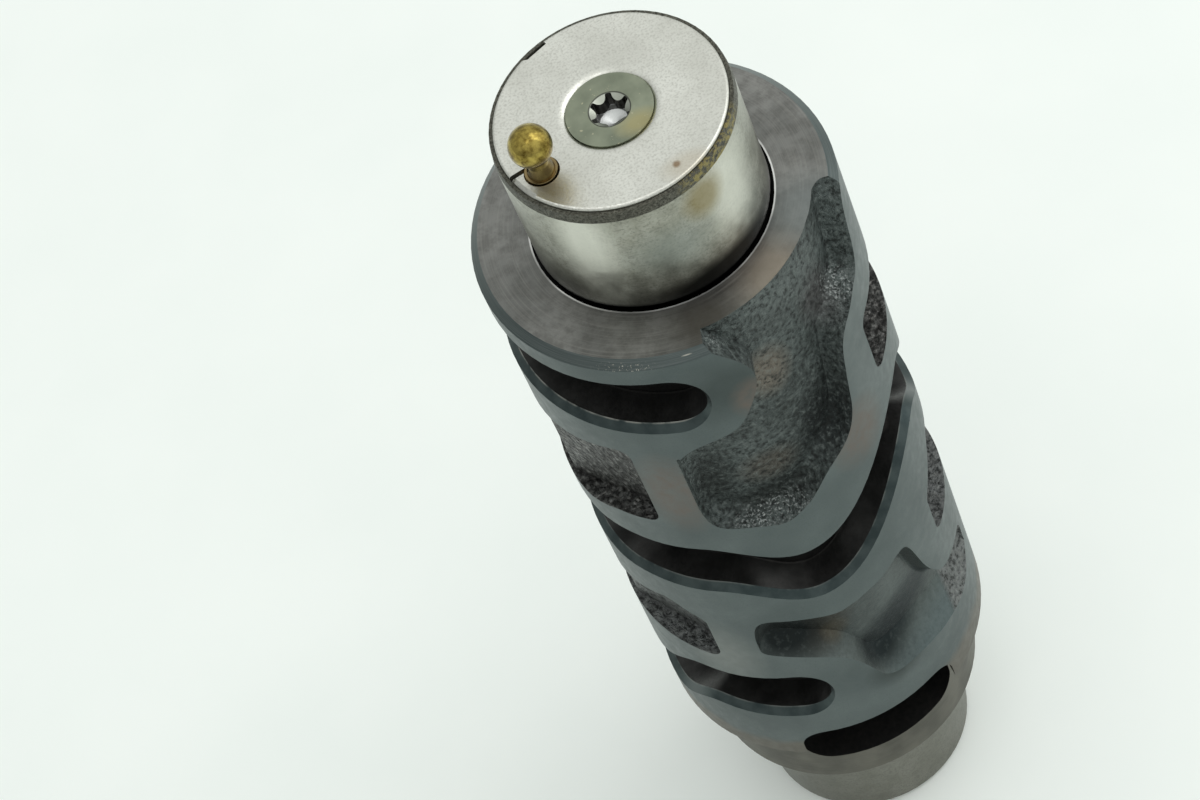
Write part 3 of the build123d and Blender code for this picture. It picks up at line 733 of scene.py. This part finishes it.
def screw_finish():
    """Phosphated steel: smooth and olive grey, golden towards one side, bare and with a painted highlight
    in the recess's mouth where the driver rubs, painted shade on the recess's rim and walls, and a painted
    highlight at its bottom.
    """
    finish, tree, shader, place = new_finish("screw_phosphated", 0.9)
    drift = clouds(tree, place, 0.003, detail=3)
    fine = clouds(tree, place, 0.0002, detail=3)
    colour = blend(tree, stretch(tree, drift, 0.35, 0.65), (0.20, 0.222, 0.165), (0.29, 0.315, 0.235))
    oiled = (0.0022, -0.003, PLATE_TOP_Z)
    colour = stain_and_painted_light(tree, place, colour, oiled, (0.003, 0.002, 0.002), 0.6, (0.42, 0.36, 0.16))
    nicks = stretch(tree, clouds(tree, place, 0.0005, detail=3), 0.66, 0.72, 0, 0.7)
    colour = blend(tree, nicks, colour, (0.55, 0.52, 0.36))
    level = height(tree, place)
    reach = from_axis(tree, place)[1]
    above_cone = arithmetic(tree, "SUBTRACT", level, arithmetic(tree, "MULTIPLY", reach, MOUTH_SLOPE))
    inside = stretch(tree, reach, MOUTH_R - 0.00002, MOUTH_R, 1, 0)
    conical = stretch(tree, above_cone, MOUTH_TIP_Z - 0.00002, MOUTH_TIP_Z)
    mouth = arithmetic(tree, "MULTIPLY", inside, conical)
    # Bare metal and a painted highlight on the conical mouth
    colour = blend(tree, mouth, colour, (0.44, 0.46, 0.40))
    # Painted shade: a dark line round the recess's rim
    outer = stretch(tree, reach, 0.00226, 0.00230, 1, 0)
    rim = arithmetic(tree, "MULTIPLY", stretch(tree, reach, 0.00212, 0.00216), outer)
    colour = blend(tree, arithmetic(tree, "MULTIPLY", rim, 0.85), colour, (0.05, 0.052, 0.042))
    # Painted shade on the recess's walls
    wall = arithmetic(tree, "SUBTRACT", inside, mouth)
    colour = blend(tree, wall, colour, (0.045, 0.045, 0.04))
    # Painted highlight: near-white bottom of the recess
    bottom = stretch(tree, level, RECESS_BOTTOM_Z, RECESS_BOTTOM_Z + 0.00003, 1, 0)
    colour = blend(tree, bottom, colour, (0.66, 0.67, 0.66))
    roughness = stretch(tree, drift, 0.3, 0.7, 0.26, 0.38)
    join(tree, shader, colour, roughness, emboss(tree, fine, 0.000003))
    return finish


dress("end_screw", screw_finish())


# Contact pin
# A turned brass pin, whose ball makes the electrical contact. It is pushed up by its spring through the
# plate's hole; the ball is burnished by use and the neck tarnished.
COLLAR_TOP_Z = 0.1356
TARNISH_FULL_Z = 0.1368
TARNISH_END_Z = 0.1380


def pin_finish():
    """Tarnished brass: golden olive, blotched with brown, and darker on the neck."""
    finish, tree, shader, place = new_finish("brass_tarnished", 1.0)
    blotches = clouds(tree, place, 0.0011, detail=4, roughness=0.65)
    fine = clouds(tree, place, 0.0003, detail=2)
    colour = blend(tree, stretch(tree, blotches, 0.38, 0.62), (0.13, 0.088, 0.016), (0.43, 0.335, 0.085))
    level = height(tree, place)
    neck = stretch(tree, level, TARNISH_FULL_Z, TARNISH_END_Z, 0.8, 0)
    colour = blend(tree, neck, colour, (0.13, 0.095, 0.045))
    collar = stretch(tree, level, COLLAR_TOP_Z - 0.00005, COLLAR_TOP_Z + 0.00015, 0.7, 0)
    colour = blend(tree, collar, colour, (0.36, 0.27, 0.14))
    roughness = stretch(tree, blotches, 0.35, 0.65, 0.3, 0.16)
    join(tree, shader, colour, roughness, emboss(tree, fine, 0.000006))
    return finish


dress("contact_pin", pin_finish())


# Contact spring
# A small coil spring of drawn steel wire. It stands in the blind well under the pin and pushes it up
# against the plate.
def spring_finish():
    """Drawn spring wire: grey and oily, with small blotches."""
    finish, tree, shader, place = new_finish("spring_wire", 1.0)
    blotches = clouds(tree, place, 0.0004, detail=3)
    colour = blend(tree, stretch(tree, blotches, 0.35, 0.65), (0.3, 0.3, 0.29), (0.46, 0.46, 0.45))
    roughness = stretch(tree, blotches, 0.3, 0.7, 0.25, 0.4)
    join(tree, shader, colour, roughness)
    return finish


dress("contact_spring", spring_finish())


# Studio
# A plain pale floor under a soft window light from above on the right, with two weaker soft lamps.
# The floor looks a little brighter to the camera and in reflections than the light on it makes it.
FLOOR_SIZE = 4
FLOOR_GLOW = 0.035

bpy.ops.object.select_all(action="DESELECT")
bpy.ops.mesh.primitive_plane_add(size=FLOOR_SIZE, location=(0, 0, 0))
floor = bpy.context.object
floor.name = "floor"
floor_finish, tree, shader, place = new_finish("pale_table", 0.0)
mottle = clouds(tree, place, 0.03, detail=3)
colour = blend(tree, stretch(tree, mottle, 0.35, 0.65), (0.86, 0.905, 0.87), (0.885, 0.925, 0.89))
join(tree, shader, colour)
shader.inputs["Roughness"].default_value = 0.7
rays = tree.nodes.new("ShaderNodeLightPath")
seen = arithmetic(tree, "MAXIMUM", rays.outputs["Is Camera Ray"], rays.outputs["Is Glossy Ray"])
tree.links.new(arithmetic(tree, "MULTIPLY", seen, FLOOR_GLOW), shader.inputs["Emission Strength"])
shader.inputs["Emission Color"].default_value = (1, 1, 1, 1)
floor.data.materials.append(floor_finish)


def softbox(name, place, turn, size, power):
    """Square area light at a place, turned by angles in degrees."""
    bpy.ops.object.light_add(type="AREA", location=place, rotation=[radians(a) for a in turn])
    lamp = bpy.context.object
    lamp.name = name
    lamp.data.shape = "SQUARE"
    lamp.data.size = size
    lamp.data.energy = power


softbox("window_light", (0.5, 0.05, 0.9), (0, 30, 0), 0.6, 1.5)
softbox("side_light", (0.75, 0.05, 0.4), (0, 62, 0), 0.6, 0.8)
softbox("top_light", (-0.05, -0.25, 1.0), (16, 0, 0), 0.25, 0.3)
world = bpy.data.worlds.new("studio")
world.use_nodes = True
sky = world.node_tree
bright = sky.nodes.new("ShaderNodeTexCoord").outputs["Generated"]
lean = sky.nodes.new("ShaderNodeVectorMath")
lean.operation = "DOT_PRODUCT"
lean.inputs[1].default_value = (0.35, 0, 0.94)
sky.links.new(bright, lean.inputs[0])
level = stretch(sky, lean.outputs["Value"], -0.1, 0.9, 0.45, 1.0)
sky.links.new(level, sky.nodes["Background"].inputs["Strength"])
sky.nodes["Background"].inputs["Color"].default_value = (0.97, 1.0, 0.98, 1)
bpy.context.scene.world = world
bpy.context.scene.view_settings.view_transform = "Standard"
